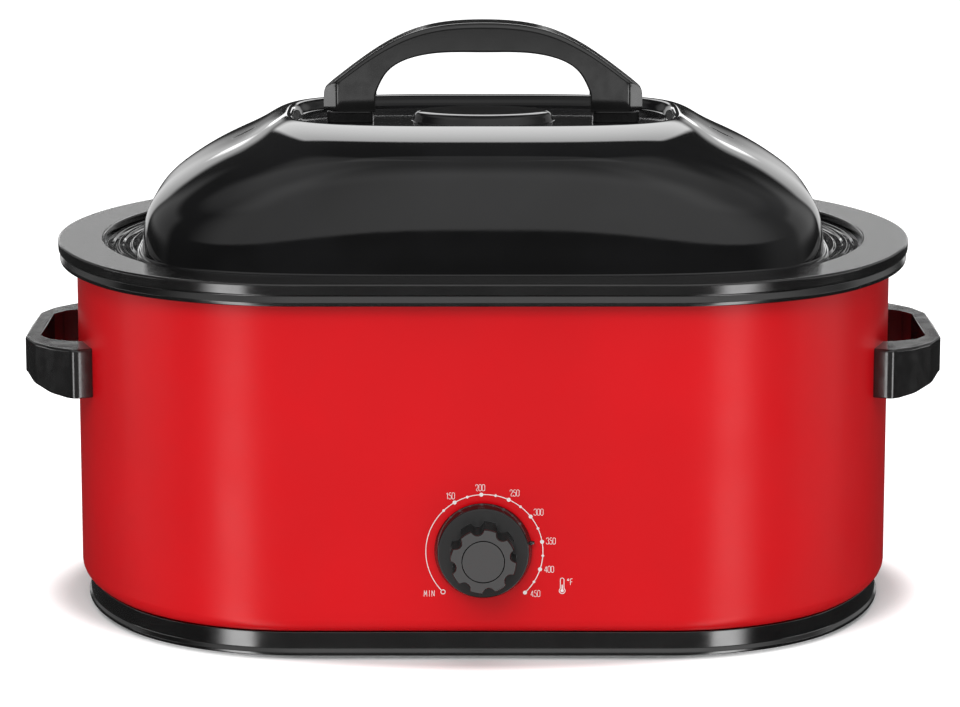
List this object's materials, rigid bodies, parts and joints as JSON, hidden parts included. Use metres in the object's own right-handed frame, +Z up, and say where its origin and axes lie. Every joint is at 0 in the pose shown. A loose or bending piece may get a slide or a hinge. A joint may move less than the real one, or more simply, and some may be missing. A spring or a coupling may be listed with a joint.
{
  "type": "electric roaster oven",
  "caption": "Countertop electric roaster oven: painted racetrack housing with heating well, lift-out pan and rack, lift-off domed lid with arch handle, side handles and a thermostat knob.",
  "frame": {"origin": "on the table, under the middle of the whole outline, knob included", "axes": "+Z up, -Y towards the knob and the user, +X to the user's right along the housing's length"},
  "size_m": [0.577, 0.4072, 0.3648],
  "materials": {
    "red_paint": "gloss",
    "black_enamel": "high gloss",
    "rim_moulding": "satin gloss",
    "base_moulding": "satin gloss",
    "handle_moulding": "satin",
    "knob_moulding": "gloss",
    "galvanised_steel": "satin",
    "fastener_steel": "zinc",
    "chrome_wire": "bright",
    "rubber": "matt",
    "mica_band": "matt",
    "glass_fibre": "fibrous",
    "terminal_moulding": "matt",
    "copper_alloy": "bright"
  },
  "bodies": {
    "housing": {"bottom_plate": "galvanised_steel", "cord_gland": "base_moulding", "feet": "rubber", "heater_band": "mica_band", "heater_clips": "galvanised_steel", "heating_well": "galvanised_steel", "insulation_blanket": "glass_fibre", "outer_shell": "red_paint", "plinth": "base_moulding", "rim_ring": "rim_moulding", "side_handle_left": "handle_moulding", "side_handle_right": "handle_moulding", "side_handle_screws": "fastener_steel", "terminal_block": "terminal_moulding", "thermal_fuse": "copper_alloy", "thermostat_body": "terminal_moulding", "thermostat_bulb": "copper_alloy", "thermostat_nut": "fastener_steel", "tie_nuts": "fastener_steel", "tie_studs": "fastener_steel"},
    "control": {"control_shaft": "fastener_steel", "knob": "knob_moulding", "knob_cap": "knob_moulding"},
    "pan": {"insert_pan": "black_enamel"},
    "rack": {"roasting_rack": "chrome_wire"},
    "lid": {"lid_shell": "black_enamel", "lid_handle": "handle_moulding", "lid_handle_spacers": "handle_moulding", "lid_handle_screws": "fastener_steel"}
  },
  "joints": [
    {"name": "knob_turn", "type": "hinge", "parent": "housing", "child": "control", "pos_m": [0, -0.17265, 0.069], "axis": [0, 1, 0], "range_deg": [-215, 56]},
    {"name": "pan_lift", "type": "slide", "parent": "housing", "child": "pan", "axis": [0, 0, 1], "range_m": [0, 0.19]},
    {"name": "rack_lift", "type": "slide", "parent": "pan", "child": "rack", "axis": [0, 0, 1], "range_m": [0, 0.18]},
    {"name": "lid_lift", "type": "slide", "parent": "rack", "child": "lid", "axis": [0, 0, 1], "range_m": [0, 0.12]}
  ]
}
